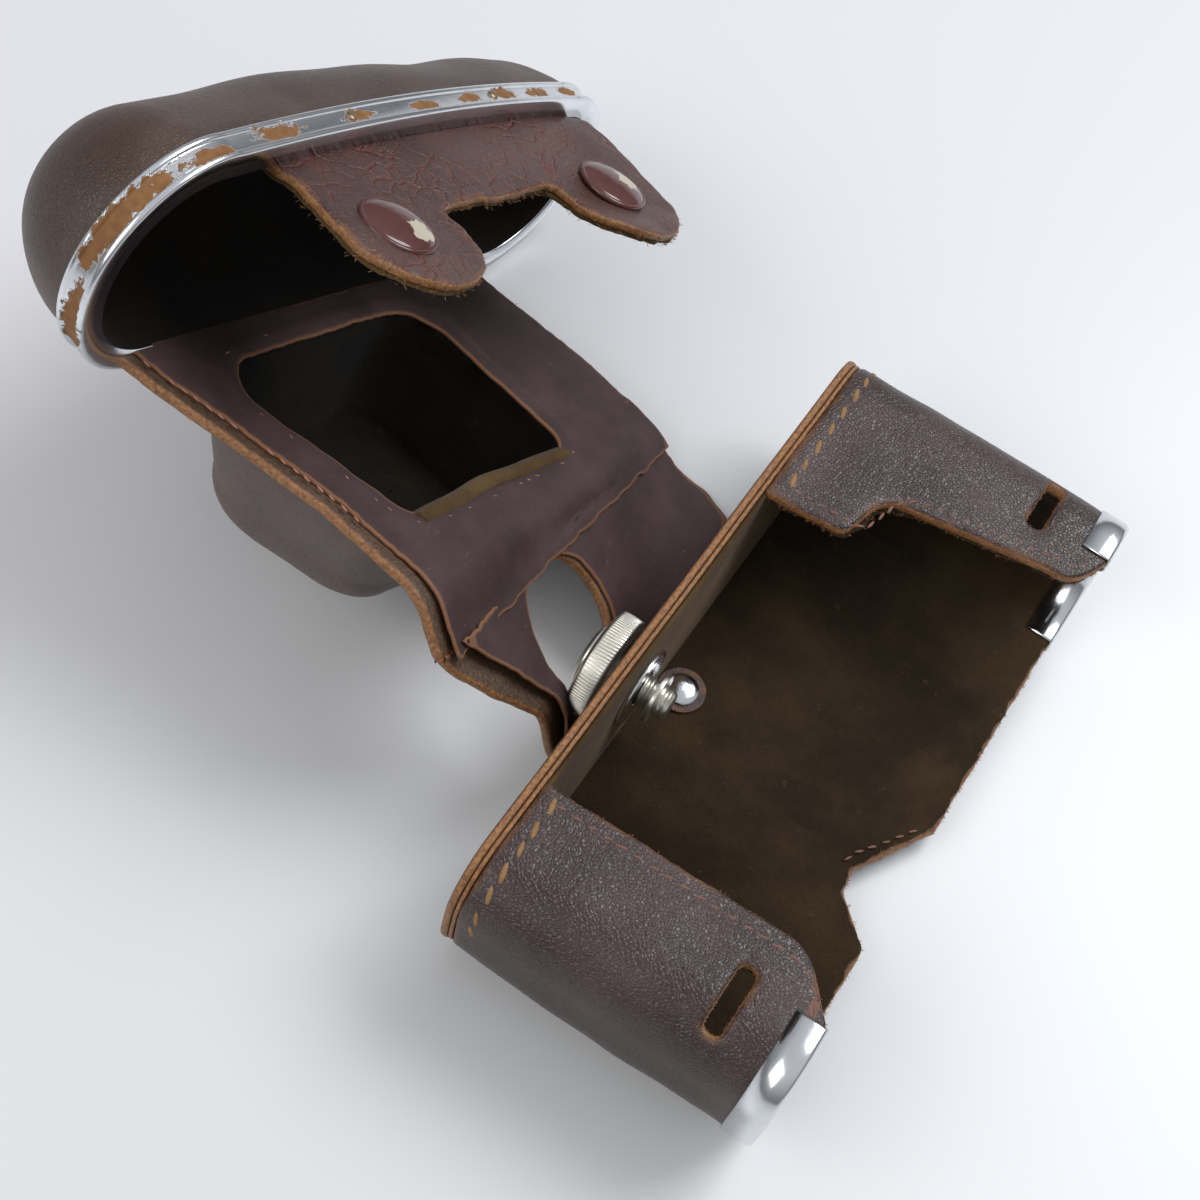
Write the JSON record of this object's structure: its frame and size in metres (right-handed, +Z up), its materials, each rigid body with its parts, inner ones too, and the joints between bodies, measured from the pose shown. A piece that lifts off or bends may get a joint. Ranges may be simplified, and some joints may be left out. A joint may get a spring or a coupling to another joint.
{
  "type": "leather camera case",
  "caption": "Moulded leather camera case lying open: body half with end pockets, hinged flap with round hole, deep lens nose, domed lid and snap tab.",
  "frame": {"origin": "middle of the opened case's outline, on the table", "axes": "+X along the body half towards the pocket on the eyepiece side, +Y from the flap to the body half's open top, +Z up"},
  "size_m": [0.1646, 0.1796, 0.0983],
  "materials": {
    "body_leather": "glossy dark brown moulded leather, finely creased",
    "flap_leather": "dark purple-brown leather, matt inside",
    "thin_lining": "thin purple-brown lining leather",
    "suede": "dark olive-brown suede",
    "velvet": "near black velvet",
    "raw_suede": "raw tan suede",
    "chrome_trim": "bright chrome, worn",
    "screw_metal": "worn nickel plate",
    "rivet": "darkened brass",
    "snap_paint": "glossy brown lacquer, worn to cream"
  },
  "bodies": {
    "body_half": {"body_wrap": "body_leather", "body_lining": "suede", "bottom_wall": "body_leather", "bottom_lining": "suede", "left_rim_trim": "chrome_trim", "right_rim_trim": "chrome_trim", "flap_root": "flap_leather", "flap_rivet": "rivet", "rivet_washer": "body_leather", "left_snap_stud": "rivet", "right_snap_stud": "rivet", "outer_screw_washer": "screw_metal", "inner_screw_washer": "screw_metal", "root_fold": "flap_leather"},
    "screw_ring": {"retaining_ring": "screw_metal"},
    "screw": {"tripod_screw": "screw_metal", "screw_knob": "screw_metal"},
    "flap": {"flap_leather": "flap_leather", "flap_lining": "thin_lining", "front_fold": "flap_leather"},
    "cover": {"front_panel": "flap_leather", "panel_lining": "thin_lining", "nose_shell": "body_leather", "nose_lining": "velvet", "nose_mouth_strip": "raw_suede", "dome_shell": "body_leather", "dome_lining": "velvet", "rim_band": "chrome_trim", "band_pins": "rivet", "tab_root": "flap_leather", "tab_fold": "body_leather"},
    "tab": {"tab_leather": "body_leather", "tab_backing": "raw_suede", "left_snap_cap": "snap_paint", "right_snap_cap": "snap_paint", "left_snap_socket": "rivet", "right_snap_socket": "rivet"}
  },
  "joints": [
    {"name": "flap_fold", "type": "hinge", "parent": "body_half", "child": "flap", "pos_m": [0.00524, 0.02416, 0.00337], "axis": [0.9244, -0.2486, 0.2894], "range_deg": [-53, 25], "deforming": ["root_fold"]},
    {"name": "cover_fold", "type": "hinge", "parent": "flap", "child": "cover", "pos_m": [0.00713, 0.00136, 0.02969], "axis": [0.9395, -0.0395, 0.3403], "range_deg": [-62, 5], "deforming": ["front_fold"]},
    {"name": "tab_fold", "type": "hinge", "parent": "cover", "child": "tab", "pos_m": [-0.02181, -0.05234, 0.06673], "axis": [0.8661, -0.111, 0.4874], "range_deg": [-20, 90], "deforming": ["tab_fold"]},
    {"name": "screw_slide", "type": "slide", "parent": "body_half", "child": "screw_ring", "axis": [0, 1, 0], "range_m": [-0.002, 0.0006]},
    {"name": "screw_turn", "type": "hinge", "parent": "screw_ring", "child": "screw", "pos_m": [0.02386, 0.02727, 0.0205], "axis": [0, 1, 0], "continuous": true}
  ]
}
